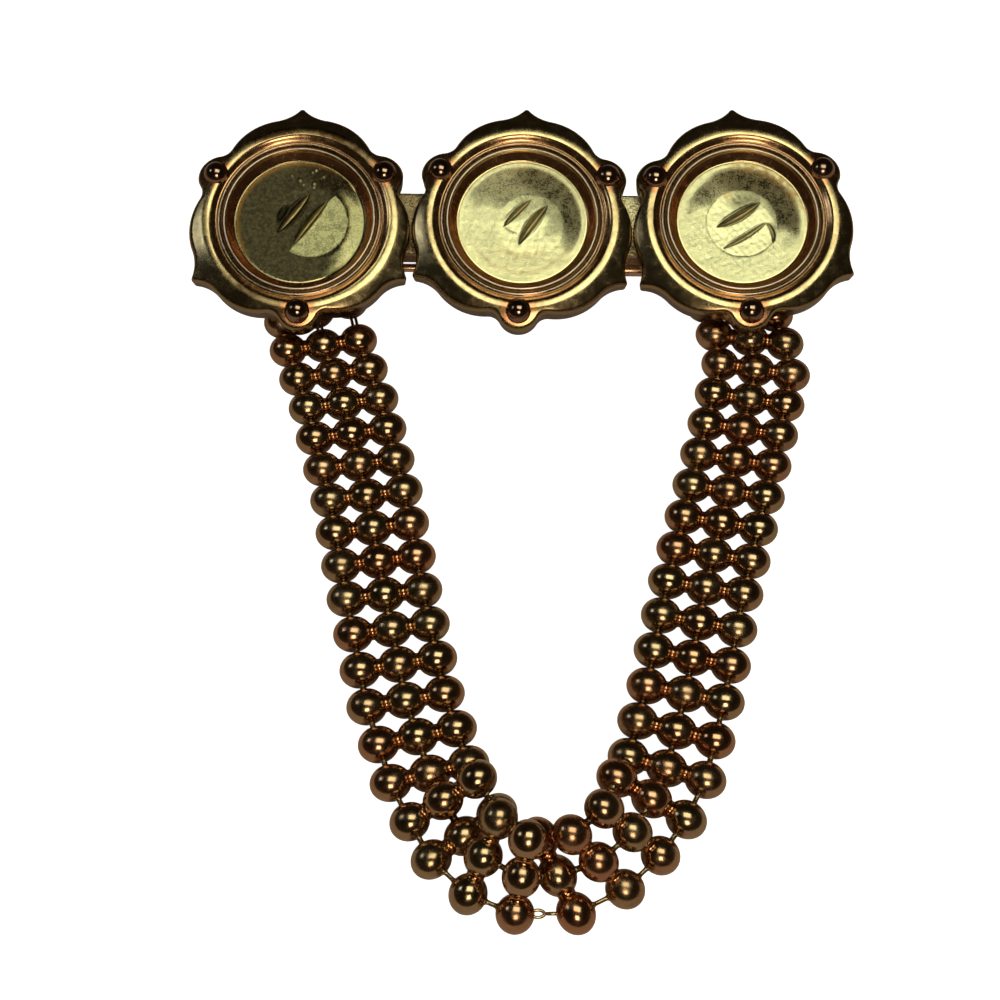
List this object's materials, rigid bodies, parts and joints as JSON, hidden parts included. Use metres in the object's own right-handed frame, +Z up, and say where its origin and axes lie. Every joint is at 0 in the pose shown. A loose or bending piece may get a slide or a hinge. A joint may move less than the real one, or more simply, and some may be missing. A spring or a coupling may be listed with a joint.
{
  "type": "brooch",
  "caption": "Bar brooch of lobed medallions with empty stone cups, a hinged pin and a draped strap of bead chain.",
  "frame": {"origin": "centre of the bounding box, at the surface it lies on", "axes": "+X along the bar to the hinge end, +Y from the chain to the bar, +Z up"},
  "size_m": [0.0732, 0.0918, 0.0137],
  "materials": {
    "gold_plate": "antique gold plate, polished, dark in the hollows",
    "plate_strip": "pale gold, granular, satin",
    "pin_wire": "copper-coloured wire, smooth",
    "chain_gold": "antique gold plate, polished"
  },
  "bodies": {
    "brooch": {"back_plate": "plate_strip", "left_medallion": "gold_plate", "middle_medallion": "gold_plate", "right_medallion": "gold_plate", "hinge_body": "gold_plate", "catch_body": "gold_plate", "chain_left": "chain_gold", "chain_right": "chain_gold"},
    "pin": {"pin_stem": "pin_wire"}
  },
  "joints": [
    {"name": "pin_hinge", "type": "hinge", "parent": "brooch", "child": "pin", "pos_m": [0.03146, 0.03085, 0.00228], "axis": [-0.0113, -0.9636, -0.2672], "range_deg": [0, 50]}
  ]
}
